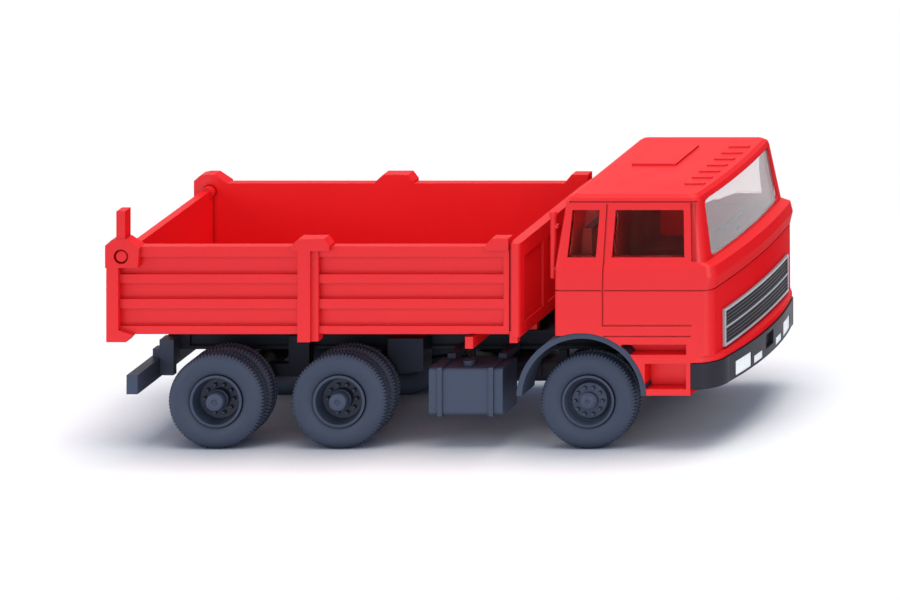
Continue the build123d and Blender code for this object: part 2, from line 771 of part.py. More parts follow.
def cut_below_sides(shell):
    """Take away what lies below the side panels, behind the steps and under the fascia."""
    shell -= block(cab_rear_x - past, arch_panel_front_x, -beyond_side, beyond_side,
                   cab_step_bottom_z - past, cab_side_bottom_z)
    shell -= block(cab_lower_front_x, front_end_x + past, -beyond_side, beyond_side,
                   cab_step_bottom_z - past, cab_fascia_bottom_z)
    shell -= rod_y(arch_x, arch_z, arch_radius + arch_clearance, -beyond_side, beyond_side)
    for side in (-1, 1):
        for x0, x1, z0, z1 in step_recesses:
            shell -= side_block(side, (x0, x1, step_recess_y, beyond_side, z0, z1))
    return shell


def cut_seams(shell, outer):
    """Fine panel seams of the doors, roof edge, waist and windscreen pillars."""
    skin = outer - cab_form(seam_depth)
    deep_skin = outer - cab_form(pillar_seam_depth)
    shell -= skin & across_block(waist_seam)
    for side in (-1, 1):
        for x0, x1, z0, z1 in side_seams:
            shell -= skin & side_block(side, (x0, x1, 11.5, beyond_side, z0, z1))
        shell -= deep_skin & side_prism(pillar_gap, side * 11.5, side * beyond_side)
    return shell


def roof_ribs():
    """Row of short raised ribs near the roof's front edge."""
    x0, x1 = roof_rib_x
    ribs = []
    for i in range(roof_rib_count):
        y = (i - (roof_rib_count - 1) / 2) * roof_rib_pitch
        ribs.append(block(x0, x1, y - roof_rib_half, y + roof_rib_half,
                          cab_roof_z - 0.2, cab_roof_z + roof_rib_height))
    return ribs


def cab_shell():
    """Hollow cab with cut windows, panel seams, steps, a roof hatch and roof ribs."""
    outer = cab_form(0)
    shell = outer - cab_form(cab_wall)
    shell += step_pillars(outer)
    shell = cut_below_sides(shell)
    for prism in window_prisms(0):
        shell -= prism
    shell = cut_seams(shell, outer)
    shell += side_block(1, hatch_box)
    for rib in roof_ribs():
        shell += rib
    return shell


def cab_glazing():
    """One pane in each window, a little behind the outer faces."""
    layer = cab_form(pane_depth) - cab_form(pane_back)
    return [layer & prism for prism in window_prisms(pane_gap)]


def cab_interior():
    """Floor tray with its engine hump."""
    return (cab_form(cab_wall + tray_gap) & across_block(tray_box)) + across_block(hump_box)


def seats():
    """Driver's and passenger's seats with high backs."""
    x0, x1, cushion_top = seat_cushion
    chairs = []
    for y in (-seat_y, seat_y):
        cushion = block(x0, x1, y - seat_half_width, y + seat_half_width, tray_top_z, cushion_top)
        back = side_prism(seat_back, y - seat_back_half_width, y + seat_back_half_width)
        chairs.append(cushion + back)
    return chairs


def dashboard():
    """Dashboard shelf behind the windscreen, on a leg down to the floor tray."""
    shelf = side_prism(shelf_outline, -shelf_half_width, shelf_half_width)
    return (shelf + across_block(shelf_leg)) & cab_form(cab_wall + tray_gap)


def steering_wheel():
    """Wheel rim, hub and column in front of the driver's seat on the left."""
    ring = Torus(wheel_ring_radius, wheel_rim_radius)
    ring += Box(2 * wheel_ring_radius, 0.5, 0.4) + Cylinder(wheel_hub_radius, 0.5)
    ring += Pos(0, 0, -wheel_column_length / 2 - 0.1) * Cylinder(wheel_column_radius,
                                                                 wheel_column_length)
    return Pos(*wheel_centre) * Rot(0, wheel_rake, 0) * ring


def grille_layer(outer, inner, half, z0, z1):
    """Layer over the bowed front between two heights, as far out as given."""
    return (cab_form(-outer) - cab_form(-inner)) & block(35, 40, -half, half, z0, z1)


def grille_frame():
    """Bright ring around the grille with a bar across its middle."""
    ring = grille_layer(grille_ring_out, 0, grille_half_width, grille_bottom_z, grille_top_z)
    inner = grille_half_width - grille_ring
    ring -= block(35, 40, -inner, inner, grille_bottom_z + grille_ring, grille_top_z - grille_ring)
    middle = (grille_bottom_z + grille_top_z) / 2
    bar = grille_layer(grille_ring_out, grille_panel_out + seat_clearance, inner + 0.1,
                       middle - grille_bar_half, middle + grille_bar_half)
    return ring + bar


def grille_panel():
    """Slatted grille panel inside its ring."""
    gap = grille_ring + seat_clearance
    half = grille_half_width - gap
    panel = grille_layer(grille_panel_out, 0, half, grille_bottom_z + gap, grille_top_z - gap)
    pitch = (grille_top_z - grille_bottom_z - 2 * gap) / grille_slats
    for i in range(grille_slats):
        z = grille_bottom_z + gap + (i + 0.5) * pitch
        panel -= grille_layer(grille_ring_out, grille_slat_floor, half - 0.25,
                              z - grille_slat_half, z + grille_slat_half)
    return panel


def bumper_form(inset):
    """Closed bumper form with round corners and a bowed front."""
    wires = [plan_outline(z, bumper_rear_x, front_end_x - inset, bumper_half_width - inset,
                          bumper_corner - inset, bumper_bow)
             for z in (bumper_bottom_z, bumper_top_z)]
    return Solid.make_loft(wires, ruled=True)


def lamp_block(side, place, gap):
    """Block of one lamp's outline through the bumper's front, drawn in by gap."""
    inner, outer, z0, z1 = place
    return side_block(side, (36, 41, inner + gap, outer - gap, z0 + gap, z1 - gap))


def bumper():
    """Front bumper with round corners, lamp pockets and a recess for the tow pin."""
    shape = bumper_form(0) - bumper_form(bumper_wall)
    shape -= block(bumper_rear_x - past, cab_lower_front_x + 0.05, -beyond_side, beyond_side,
                   bumper_bottom_z - past, bumper_top_z + past)
    pocket_layer = bumper_form(0) - bumper_form(lamp_pocket_depth)
    for place in lamp_places:
        for side in (-1, 1):
            shape -= pocket_layer & lamp_block(side, place, 0)
    return shape - (pocket_layer & across_block(tow_recess))


def headlamps():
    """Lenses of the headlamps and side lamps, seated in the bumper's pockets."""
    layer = bumper_form(lens_set_back) - bumper_form(lamp_pocket_depth - seat_clearance)
    return [layer & lamp_block(side, place, seat_clearance)
            for place in lamp_places for side in (-1, 1)]


parts_by_name = {
    "chassis_frame": chassis_frame(),
    "rear_bogie": rear_bogie(),
    "front_axle_beam": front_axle_beam(),
    "engine_gearbox": engine_gearbox(),
    "prop_shafts": Compound(prop_shafts()),
    "underrun_beam": underrun_beam(),
    "fuel_tank": fuel_tank(),
    "battery_box": battery_box(),
    "rail_box_right": rail_box(-1),
    "rail_box_left": rail_box(1),
    "mudguard_right": mudguard(-1),
    "mudguard_left": mudguard(1),
    "bed_side_right": bed_side(-1),
    "bed_side_left": bed_side(1),
    "bed_floor": bed_floor(),
    "bed_headboard": bed_headboard(),
    "bed_subframe": bed_subframe(),
    "bed_hinge_pin": bed_hinge_pin(),
    "tailgate": tailgate(),
    "cab_shell": cab_shell(),
    "cab_glazing": Compound(cab_glazing()),
    "cab_interior": cab_interior(),
    "seats": Compound(seats()),
    "dashboard": dashboard(),
    "steering_wheel": steering_wheel(),
    "grille_frame": grille_frame(),
    "grille_panel": grille_panel(),
    "bumper": bumper(),
    "headlamps": Compound(headlamps()),
}

os.makedirs("parts", exist_ok=True)
for part_name, part_shape in parts_by_name.items():
    save(part_name, part_shape)
axle_set("front_axle", front_axle_x, False)
axle_set("middle_axle", middle_axle_x, True)
axle_set("rear_axle", rear_axle_x, True)
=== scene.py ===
# %% [markdown]
# # A plastic scale model of a dump truck
# This notebook dresses a finished construction model. The truck's pieces come in as fixed meshes,
# in metres. We give them moulded-plastic finishes, rebuild the tyres with their tread, add wheel nuts,
# hub caps and a few small fittings, and set up the camera, the light and the floor. Nothing here moves
# or resizes the truck.

# %% Load the truck
import bmesh
import bpy
import json
from math import cos, pi, radians, sin, tau
from mathutils import Matrix, Vector


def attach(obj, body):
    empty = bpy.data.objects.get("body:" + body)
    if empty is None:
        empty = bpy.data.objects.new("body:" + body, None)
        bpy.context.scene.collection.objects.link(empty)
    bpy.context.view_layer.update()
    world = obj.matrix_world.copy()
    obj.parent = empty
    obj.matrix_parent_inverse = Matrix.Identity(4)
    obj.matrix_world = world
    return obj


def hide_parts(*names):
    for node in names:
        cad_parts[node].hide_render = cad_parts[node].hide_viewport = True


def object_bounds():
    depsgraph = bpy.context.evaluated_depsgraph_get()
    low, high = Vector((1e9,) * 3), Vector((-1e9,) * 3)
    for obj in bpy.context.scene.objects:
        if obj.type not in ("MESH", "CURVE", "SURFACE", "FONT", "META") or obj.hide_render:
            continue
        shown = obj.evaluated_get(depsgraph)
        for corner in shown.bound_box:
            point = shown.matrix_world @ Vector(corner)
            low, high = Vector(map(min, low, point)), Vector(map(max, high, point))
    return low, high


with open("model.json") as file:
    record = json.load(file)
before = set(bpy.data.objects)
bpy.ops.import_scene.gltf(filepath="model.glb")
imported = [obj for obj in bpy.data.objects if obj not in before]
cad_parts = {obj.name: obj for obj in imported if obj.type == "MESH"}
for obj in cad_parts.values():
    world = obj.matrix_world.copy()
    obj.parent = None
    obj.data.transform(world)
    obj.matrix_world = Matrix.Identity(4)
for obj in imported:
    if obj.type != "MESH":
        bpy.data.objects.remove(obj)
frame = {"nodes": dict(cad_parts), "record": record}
nodes = frame["nodes"]
cad_low, cad_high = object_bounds()
MM = 0.001
print("pieces:", len(nodes), "size in mm:", [round(v / MM, 1) for v in cad_high - cad_low])

# %% [markdown]
# ## The camera
# The picture was taken with the camera's back parallel to the truck's side, from the front right and
# above. So the side keeps its true proportions, while depth runs off to the upper right. An ordinary
# camera turned to that angle would squeeze the side. We use a long lens and give the camera a slanted
# frame of axes instead: X stays level along the truck, Y stays upright, and the third axis points from
# the truck to the camera. A plain empty carries that slant.

# %% Place the camera
picture_width, picture_height = 900, 600
pixels_per_metre = 7950.0
side_row_at_ground = 453.2
side_column_at_middle = 417.0
depth_to_right = 0.39
depth_to_up = 0.3145
camera_distance = 1.4
sensor_width = 36.0

near_side_y = cad_low.y
sight = Vector((depth_to_right, -1.0, depth_to_up)).normalized()
target = Vector((
    (picture_width / 2 - side_column_at_middle) / pixels_per_metre,
    near_side_y,
    (side_row_at_ground - picture_height / 2) / pixels_per_metre,
))
place = target + sight * camera_distance

camera_data = bpy.data.cameras.new("camera")
camera_data.sensor_width = sensor_width
camera_data.lens = pixels_per_metre * camera_distance / picture_width * sensor_width
camera = bpy.data.objects.new("camera", camera_data)
stand = bpy.data.objects.new("camera_stand", None)
for thing in (camera, stand):
    bpy.context.scene.collection.objects.link(thing)
camera.parent = stand
camera.matrix_parent_inverse = Matrix((
    (1.0, 0.0, sight.x, place.x),
    (0.0, 0.0, sight.y, place.y),
    (0.0, 1.0, sight.z, place.z),
    (0.0, 0.0, 0.0, 1.0),
))
bpy.context.scene.camera = camera
print("lens in mm:", round(camera_data.lens, 1), "camera at:", [round(v, 3) for v in place])

# %% [markdown]
# ## Light, floor and background
# A white studio: a large soft panel hangs straight above, so the shadow falls under the truck. Three
# weaker ones stand low beside the camera, to the left and at the front, and light its sides. The world
# adds an even, slightly blue light. The floor keeps the soft shadow, and a painted shadow turns it
# blue-grey where the truck closes it in; farther out it fades into the white background. Seen from
# below it is clear, so it never hides the truck.

# %% Helpers for shader trees
scene = bpy.context.scene
scene.view_settings.view_transform = "Standard"


def new_tree(owner):
    """The node tree of a world or material, emptied."""
    owner.use_nodes = True
    owner.node_tree.nodes.clear()
    return owner.node_tree


def add(tree, kind, **values):
    """A new node, with its attributes or input sockets set by name."""
    node = tree.nodes.new(kind)
    for name, value in values.items():
        if hasattr(node, name):
            setattr(node, name, value)
        else:
            node.inputs[name.replace("_", " ")].default_value = value
    return node


def join(tree, source, target_socket):
    """A link between two sockets."""
    tree.links.new(source, target_socket)


def seen_directly(tree):
    """A mask that is one for camera, glossy and transmission rays."""
    rays = add(tree, "ShaderNodeLightPath")
    first = add(tree, "ShaderNodeMath", operation="MAXIMUM")
    join(tree, rays.outputs["Is Camera Ray"], first.inputs[0])
    join(tree, rays.outputs["Is Glossy Ray"], first.inputs[1])
    any_ray = add(tree, "ShaderNodeMath", operation="MAXIMUM")
    join(tree, first.outputs[0], any_ray.inputs[0])
    join(tree, rays.outputs["Is Transmission Ray"], any_ray.inputs[1])
    return any_ray.outputs[0]


print("view transform:", scene.view_settings.view_transform)

# %% World
white = (1.0, 1.0, 1.0, 1.0)
world_light = (0.43, 0.67, 1.0, 1.0)
world_strength = 0.46


def make_world():
    """Even bluish light, and plain white where the camera sees it."""
    world = bpy.data.worlds.new("studio")
    scene.world = world
    tree = new_tree(world)
    lit = add(tree, "ShaderNodeBackground", Color=world_light, Strength=world_strength)
    seen = add(tree, "ShaderNodeBackground", Color=white, Strength=1.0)
    mix = add(tree, "ShaderNodeMixShader")
    out = add(tree, "ShaderNodeOutputWorld")
    join(tree, seen_directly(tree), mix.inputs["Fac"])
    join(tree, lit.outputs[0], mix.inputs[1])
    join(tree, seen.outputs[0], mix.inputs[2])
    join(tree, mix.outputs[0], out.inputs["Surface"])


make_world()
print("world:", scene.world.name, "strength:", world_strength)

# %% Lamps
lamp_colour = (1.0, 0.93, 0.84)
truck_middle = (0.0, 0.0, 0.015)


def panel_light(name, where, size, power):
    """A square soft panel aimed at the middle of the truck."""
    data = bpy.data.lights.new(name, "AREA")
    data.color = lamp_colour
    data.shape = "SQUARE"
    data.size = size
    data.energy = power
    lamp = bpy.data.objects.new(name, data)
    lamp.location = where
    aim = Vector(truck_middle) - Vector(where)
    lamp.rotation_euler = aim.to_track_quat("-Z", "Y").to_euler()
    scene.collection.objects.link(lamp)


# Columns: name, place, size, watts
for panel in (
    ("main_panel", (0.07, 0.02, 0.80), 0.60, 5.7),
    ("side_panel", (0.33, -0.92, 0.16), 0.45, 3.2),
    ("left_panel", (-0.75, -0.42, 0.32), 0.45, 2.3),
    ("front_panel", (0.80, -0.35, 0.42), 0.40, 1.5),
):
    panel_light(*panel)

# %% Floor
floor_half = 3.0
fade_from = 0.045
fade_to = 0.095
fade_stretch = (0.62, 1.0, 1.0)
painted_shadow_reach = 0.013
floor_painted_shadow = (0.10, 0.14, 0.25, 1.0)
floor_in_light = (0.97, 0.97, 0.97, 1.0)


def make_floor():
    """White floor with the truck's shadow and a painted shadow under it, fading out round it, clear
    from below.
    """
    mesh = bpy.data.meshes.new("floor")
    unit_corners = ((-1, -1), (1, -1), (1, 1), (-1, 1))
    corners = [(x * floor_half, y * floor_half, 0) for x, y in unit_corners]
    mesh.from_pydata(corners, [], [(0, 1, 2, 3)])
    floor = bpy.data.objects.new("floor", mesh)
    scene.collection.objects.link(floor)
    material = bpy.data.materials.new("floor_white")
    tree = new_tree(material)
    coords = add(tree, "ShaderNodeTexCoord")
    oval = add(tree, "ShaderNodeVectorMath", operation="MULTIPLY")
    join(tree, coords.outputs["Object"], oval.inputs[0])
    oval.inputs[1].default_value = fade_stretch
    distance = add(tree, "ShaderNodeVectorMath", operation="LENGTH")
    join(tree, oval.outputs[0], distance.inputs[0])
    fade = add(tree, "ShaderNodeMapRange", interpolation_type="SMOOTHSTEP")
    join(tree, distance.outputs["Value"], fade.inputs["Value"])
    fade.inputs["From Min"].default_value = fade_from
    fade.inputs["From Max"].default_value = fade_to
    # Painted shadow: the floor turns a dark blue-grey where ambient occlusion finds the truck close
    # above it.
    painted_shadow_ao = add(tree, "ShaderNodeAmbientOcclusion", samples=8, Distance=painted_shadow_reach)
    shade = add(tree, "ShaderNodeMix", data_type="RGBA")
    join(tree, painted_shadow_ao.outputs["AO"], shade.inputs["Factor"])
    shade.inputs[6].default_value = floor_painted_shadow
    shade.inputs[7].default_value = floor_in_light
    paint = add(tree, "ShaderNodeBsdfDiffuse")
    join(tree, shade.outputs[2], paint.inputs["Color"])
    gone = add(tree, "ShaderNodeBsdfTransparent")
    side = add(tree, "ShaderNodeNewGeometry")
    unseen = add(tree, "ShaderNodeMath", operation="MAXIMUM")
    join(tree, fade.outputs[0], unseen.inputs[0])
    join(tree, side.outputs["Backfacing"], unseen.inputs[1])
    mix = add(tree, "ShaderNodeMixShader")
    join(tree, unseen.outputs[0], mix.inputs["Fac"])
    join(tree, paint.outputs[0], mix.inputs[1])
    join(tree, gone.outputs[0], mix.inputs[2])
    out = add(tree, "ShaderNodeOutputMaterial")
    join(tree, mix.outputs[0], out.inputs["Surface"])
    mesh.materials.append(material)


make_floor()
print("floor side in metres:", 2 * floor_half)

# %% [markdown]
# ## Moulded plastic
# Every coloured piece of the model is injection-moulded plastic, not painted. It has a satin skin with
# a very fine grain, hardly any change of shade, and edges that are slightly rounded. Grooves and
# crevices get painted shade: their colour is darkened where the surface is closed in. The red's sheen
# is painted by which way a face points, strongest on the flat sides, weaker on the top and none on the
# front and back, to stand in for the studio's light. One shader group makes all this from Object
# coordinates, and each material holds it with its own values. The frame under the bed is the same
# anthracite as the tank, but it stands in deep shade, so its colour is painted darker as shade and its
# painted crevice shade reaches farther.

# %% The moulded skin group
cloud_scale = 110.0
roughness_swing = 0.15
grain_height = 0.02 * MM


def make_moulded_skin():
    """Shader group for moulded plastic: slight shade changes, fine grain, soft edges, painted crevice
    shade and sheen.
    """
    group = bpy.data.node_groups.new("moulded_skin", "ShaderNodeTree")
    face = group.interface
    for name, kind, value in (
        ("Base Color", "NodeSocketColor", (0.5, 0.5, 0.5, 1.0)),
        ("Shade Change", "NodeSocketFloat", 0.06),
        ("Roughness", "NodeSocketFloat", 0.4),
        ("Grain Size mm", "NodeSocketFloat", 0.25),
        ("Grain Depth", "NodeSocketFloat", 0.1),
        ("Edge Radius mm", "NodeSocketFloat", 0.08),
        ("Painted Shade Reach mm", "NodeSocketFloat", 0.5),
        ("Painted Crevice Shade", "NodeSocketFloat", 0.5),
        ("Specular", "NodeSocketFloat", 0.2),
        ("Painted Side Sheen", "NodeSocketFloat", 0.0),
    ):
        socket = face.new_socket(name=name, in_out="INPUT", socket_type=kind)
        socket.default_value = value
    for name, kind in (("Color", "NodeSocketColor"), ("Roughness", "NodeSocketFloat"),
                       ("Normal", "NodeSocketVector"), ("Specular", "NodeSocketFloat")):
        face.new_socket(name=name, in_out="OUTPUT", socket_type=kind)

    inside = add(group, "NodeGroupInput")
    outside = add(group, "NodeGroupOutput")
    place_on = add(group, "ShaderNodeTexCoord")
    cloudy = add(group, "ShaderNodeTexNoise", Scale=cloud_scale, Detail=3.0)
    join(group, place_on.outputs["Object"], cloudy.inputs["Vector"])
    swing = add(group, "ShaderNodeMath", operation="SUBTRACT")
    join(group, cloudy.outputs["Fac"], swing.inputs[0])
    swing.inputs[1].default_value = 0.5
    amount = add(group, "ShaderNodeMath", operation="MULTIPLY_ADD")
    join(group, swing.outputs[0], amount.inputs[0])
    join(group, inside.outputs["Shade Change"], amount.inputs[1])
    amount.inputs[2].default_value = 1.0
    # Painted shade: the colour darkens where ambient occlusion finds the surface closed in, within the
    # given reach.
    reach = add(group, "ShaderNodeMath", operation="MULTIPLY")
    join(group, inside.outputs["Painted Shade Reach mm"], reach.inputs[0])
    reach.inputs[1].default_value = MM
    open_sky = add(group, "ShaderNodeAmbientOcclusion", samples=6)
    join(group, reach.outputs[0], open_sky.inputs["Distance"])
    hidden = add(group, "ShaderNodeMath", operation="SUBTRACT")
    join(group, open_sky.outputs["AO"], hidden.inputs[0])
    hidden.inputs[1].default_value = 1.0
    darker = add(group, "ShaderNodeMath", operation="MULTIPLY_ADD")
    join(group, hidden.outputs[0], darker.inputs[0])
    join(group, inside.outputs["Painted Crevice Shade"], darker.inputs[1])
    darker.inputs[2].default_value = 1.0
    both = add(group, "ShaderNodeMath", operation="MULTIPLY")
    join(group, amount.outputs[0], both.inputs[0])
    join(group, darker.outputs[0], both.inputs[1])
    shade = add(group, "ShaderNodeVectorMath", operation="SCALE")
    join(group, inside.outputs["Base Color"], shade.inputs[0])
    join(group, both.outputs[0], shade.inputs["Scale"])
    join(group, shade.outputs[0], outside.inputs["Color"])

    per_metre = add(group, "ShaderNodeMath", operation="DIVIDE")
    per_metre.inputs[0].default_value = 1 / MM
    join(group, inside.outputs["Grain Size mm"], per_metre.inputs[1])
    grain = add(group, "ShaderNodeTexNoise", Detail=2.0)
    join(group, place_on.outputs["Object"], grain.inputs["Vector"])
    join(group, per_metre.outputs[0], grain.inputs["Scale"])
    uneven = add(group, "ShaderNodeMath", operation="MULTIPLY_ADD")
    join(group, swing.outputs[0], uneven.inputs[0])
    uneven.inputs[1].default_value = roughness_swing
    join(group, inside.outputs["Roughness"], uneven.inputs[2])
    join(group, uneven.outputs[0], outside.inputs["Roughness"])

    metres = add(group, "ShaderNodeMath", operation="MULTIPLY")
    join(group, inside.outputs["Edge Radius mm"], metres.inputs[0])
    metres.inputs[1].default_value = MM
    soft = add(group, "ShaderNodeBevel", samples=4)
    join(group, metres.outputs[0], soft.inputs["Radius"])
    bump = add(group, "ShaderNodeBump", Distance=grain_height)
    join(group, grain.outputs["Fac"], bump.inputs["Height"])
    join(group, inside.outputs["Grain Depth"], bump.inputs["Strength"])
    join(group, soft.outputs[0], bump.inputs["Normal"])
    join(group, bump.outputs[0], outside.inputs["Normal"])

    # Painted sheen: the specular level follows which way the face points, strongest on the sides and
    # none on the front and back, to stand in for the studio's light.
    facing = add(group, "ShaderNodeSeparateXYZ")
    join(group, place_on.outputs["Normal"], facing.inputs[0])
    sideways = add(group, "ShaderNodeMath", operation="MULTIPLY")
    join(group, facing.outputs["Y"], sideways.inputs[0])
    join(group, facing.outputs["Y"], sideways.inputs[1])
    painted_sheen = add(group, "ShaderNodeMath", operation="MULTIPLY")
    join(group, sideways.outputs[0], painted_sheen.inputs[0])
    join(group, inside.outputs["Painted Side Sheen"], painted_sheen.inputs[1])
    forwards = add(group, "ShaderNodeMath", operation="MULTIPLY")
    join(group, facing.outputs["X"], forwards.inputs[0])
    join(group, facing.outputs["X"], forwards.inputs[1])
    not_forwards = add(group, "ShaderNodeMath", operation="SUBTRACT")
    not_forwards.inputs[0].default_value = 1.0
    join(group, forwards.outputs[0], not_forwards.inputs[1])
    level = add(group, "ShaderNodeMath", operation="MULTIPLY_ADD")
    join(group, not_forwards.outputs[0], level.inputs[0])
    join(group, inside.outputs["Specular"], level.inputs[1])
    join(group, painted_sheen.outputs[0], level.inputs[2])
    join(group, level.outputs[0], outside.inputs["Specular"])
    return group


moulded_skin = make_moulded_skin()
print("skin group nodes:", len(moulded_skin.nodes))


# %% A material that holds the group
def plastic(name, colour, roughness, shade_change=0.06, grain_mm=0.25, grain_depth=0.1, edge_mm=0.08,
            specular=0.5, painted_side_sheen=0.0, painted_shade_reach_mm=0.5, painted_crevice_shade=0.5, metallic=0.0):
    """A plastic, steel or painted material that uses the moulded skin group."""
    material = bpy.data.materials.new(name)
    tree = new_tree(material)
    skin = add(tree, "ShaderNodeGroup", node_tree=moulded_skin)
    skin.inputs["Base Color"].default_value = (*colour, 1.0)
    skin.inputs["Shade Change"].default_value = shade_change
    skin.inputs["Roughness"].default_value = roughness
    skin.inputs["Grain Size mm"].default_value = grain_mm
    skin.inputs["Grain Depth"].default_value = grain_depth
    skin.inputs["Edge Radius mm"].default_value = edge_mm
    skin.inputs["Painted Shade Reach mm"].default_value = painted_shade_reach_mm
    skin.inputs["Painted Crevice Shade"].default_value = painted_crevice_shade
    body = add(tree, "ShaderNodeBsdfPrincipled", Metallic=metallic)
    # On the red, the sheen painted by facing comes from the group's Specular output.
    if painted_side_sheen:
        skin.inputs["Specular"].default_value = specular
        skin.inputs["Painted Side Sheen"].default_value = painted_side_sheen
        join(tree, skin.outputs["Specular"], body.inputs["Specular IOR Level"])
    else:
        body.inputs["Specular IOR Level"].default_value = specular
    out = add(tree, "ShaderNodeOutputMaterial")
    join(tree, skin.outputs["Color"], body.inputs["Base Color"])
    join(tree, skin.outputs["Roughness"], body.inputs["Roughness"])
    join(tree, skin.outputs["Normal"], body.inputs["Normal"])
    join(tree, body.outputs[0], out.inputs["Surface"])
    return material


# %% The finishes, in linear colours
# The crevice values set the painted shade in grooves: how far it reaches in mm and how dark it gets.
red_plastic = plastic("red_moulding", (0.80, 0.012, 0.016), 0.42, specular=0.09, painted_side_sheen=0.38,
                      painted_shade_reach_mm=0.6, painted_crevice_shade=0.55)
anthracite_plastic = plastic("anthracite_moulding", (0.045, 0.061, 0.103), 0.5, specular=0.28,
                             painted_shade_reach_mm=5.0, painted_crevice_shade=0.9)
# The frame finish is the anthracite painted darker, as painted shade for the deep shade under the bed.
frame_painted_shade_plastic = plastic("frame_moulding_painted_shade", (0.030, 0.039, 0.065), 0.5, specular=0.15,
                        painted_shade_reach_mm=12.0, painted_crevice_shade=0.95)
black_plastic = plastic("black_moulding", (0.022, 0.020, 0.030), 0.42, specular=0.16,
                        painted_shade_reach_mm=0.8, painted_crevice_shade=0.7)
tyre_plastic = plastic("tyre_moulding", (0.037, 0.051, 0.086), 0.62, grain_depth=0.2, specular=0.3,
                       painted_shade_reach_mm=1.0, painted_crevice_shade=0.6)
brown_plastic = plastic("brown_moulding", (0.19, 0.022, 0.018), 0.5, specular=0.15)
axle_steel = plastic("steel_pin", (0.45, 0.45, 0.47), 0.35, metallic=1.0)
silver_print = plastic("silver_paint", (0.38, 0.39, 0.42), 0.35, edge_mm=0.03)
print("materials:", len(bpy.data.materials))

# %% [markdown]
# ## Clear plastic
# The windows are one clear moulding in the real model. A thin pane needs nearly full transmission, a
# low roughness and the index of the plastic, and a trace of waviness keeps its reflections from looking
# like float glass. The panes in the doors stand close to the dark cab, and a dark red tint on them is
# painted shade for the shaded cab behind. The lamp lenses are milky, with fine flutes whose grooves get
# a little painted shade.

# %% Glazing and lenses
pane_roughness = 0.03
wave_scale = 260.0
wave_height = 0.1 * MM
# Roughness, transmission and index of refraction
lens_values = (0.12, 0.06, 1.5)
flute_scale = 520.0
flute_height = 0.03 * MM


def clear_base(name, roughness, transmission, index):
    """A clear plastic material with its tree, its shader and a coordinates node."""
    material = bpy.data.materials.new(name)
    tree = new_tree(material)
    body = add(tree, "ShaderNodeBsdfPrincipled")
    body.inputs["Roughness"].default_value = roughness
    body.inputs["IOR"].default_value = index
    body.inputs["Transmission Weight"].default_value = transmission
    out = add(tree, "ShaderNodeOutputMaterial")
    join(tree, body.outputs[0], out.inputs["Surface"])
    return material, tree, body, add(tree, "ShaderNodeTexCoord")


def window_plastic(name, tint, index, clearness):
    """Clear pane, or one with a tint of painted shade, slightly wavy and a little uneven in tint."""
    material, tree, body, coords = clear_base(name, pane_roughness, clearness, index)
    waves = add(tree, "ShaderNodeTexNoise", Scale=wave_scale, Detail=1.0)
    join(tree, coords.outputs["Object"], waves.inputs["Vector"])
    bump = add(tree, "ShaderNodeBump", Distance=wave_height, Strength=0.12)
    join(tree, waves.outputs["Fac"], bump.inputs["Height"])
    join(tree, bump.outputs[0], body.inputs["Normal"])
    shade = add(tree, "ShaderNodeMix", data_type="RGBA")
    join(tree, waves.outputs["Fac"], shade.inputs["Factor"])
    shade.inputs[6].default_value = (*tint, 1.0)
    shade.inputs[7].default_value = (*[0.96 * value for value in tint], 1.0)
    join(tree, shade.outputs[2], body.inputs["Base Color"])
    return material


def make_lens_plastic():
    """Milky lens with fine upright flutes, whose grooves get a little painted shade."""
    material, tree, body, coords = clear_base("lens_moulding", *lens_values)
    flutes = add(tree, "ShaderNodeTexWave", bands_direction="Y", Scale=flute_scale)
    join(tree, coords.outputs["Object"], flutes.inputs["Vector"])
    bump = add(tree, "ShaderNodeBump", Distance=flute_height, Strength=0.5)
    join(tree, flutes.outputs["Fac"], bump.inputs["Height"])
    join(tree, bump.outputs[0], body.inputs["Normal"])
    # Painted shade: the colour drops a little in the grooves of the flutes.
    flute_painted_shade = add(tree, "ShaderNodeMapRange")
    join(tree, flutes.outputs["Fac"], flute_painted_shade.inputs["Value"])
    flute_painted_shade.inputs["To Min"].default_value = 0.94
    flute_painted_shade.inputs["To Max"].default_value = 1.0
    join(tree, flute_painted_shade.outputs[0], body.inputs["Base Color"])
    return material


clear_window = window_plastic("clear_moulding", (0.90, 0.96, 1.0), index=1.49, clearness=0.9)
# A low index, so that the door panes mirror little of the white studio; their dark red tint is painted
# shade
door_pane_painted_shade = window_plastic("door_pane_painted_shade_moulding", (0.95, 0.72, 0.70), index=1.14, clearness=1.0)
lamp_lens = make_lens_plastic()
print("clear finishes:", clear_window.name, door_pane_painted_shade.name, lamp_lens.name)

# %% Give each CAD piece its finish
finish_of_slot = {
    "red_plastic": red_plastic,
    "anthracite_plastic": anthracite_plastic,
    "black_plastic": black_plastic,
    "tyre_plastic": tyre_plastic,
    "brown_plastic": brown_plastic,
    "axle_steel": axle_steel,
    "silver_print": silver_print,
    "clear_plastic": clear_window,
    "lens_plastic": lamp_lens,
}
slot_of_finish = {finish.name: slot for slot, finish in finish_of_slot.items()}
slot_of_finish[door_pane_painted_shade.name] = "clear_plastic"
# The first words of the nodes that stand in deep shade; they take the frame finish, darkened as painted
# shade
deep_nodes = ("chassis_frame", "rail_box", "rear_bogie", "front_axle_beam", "engine_gearbox",
              "prop_shaft")
slot_of_node = {s["node"]: s["material_slot"] for s in frame["record"]["subparts"]}
for node_name, node in nodes.items():
    finish = finish_of_slot[slot_of_node[node_name]]
    if node_name.startswith(deep_nodes):
        finish = frame_painted_shade_plastic
    if not node.material_slots:
        node.data.materials.append(finish)
    for holder in node.material_slots:
        holder.material = finish
print("finished:", len(nodes), "pieces")

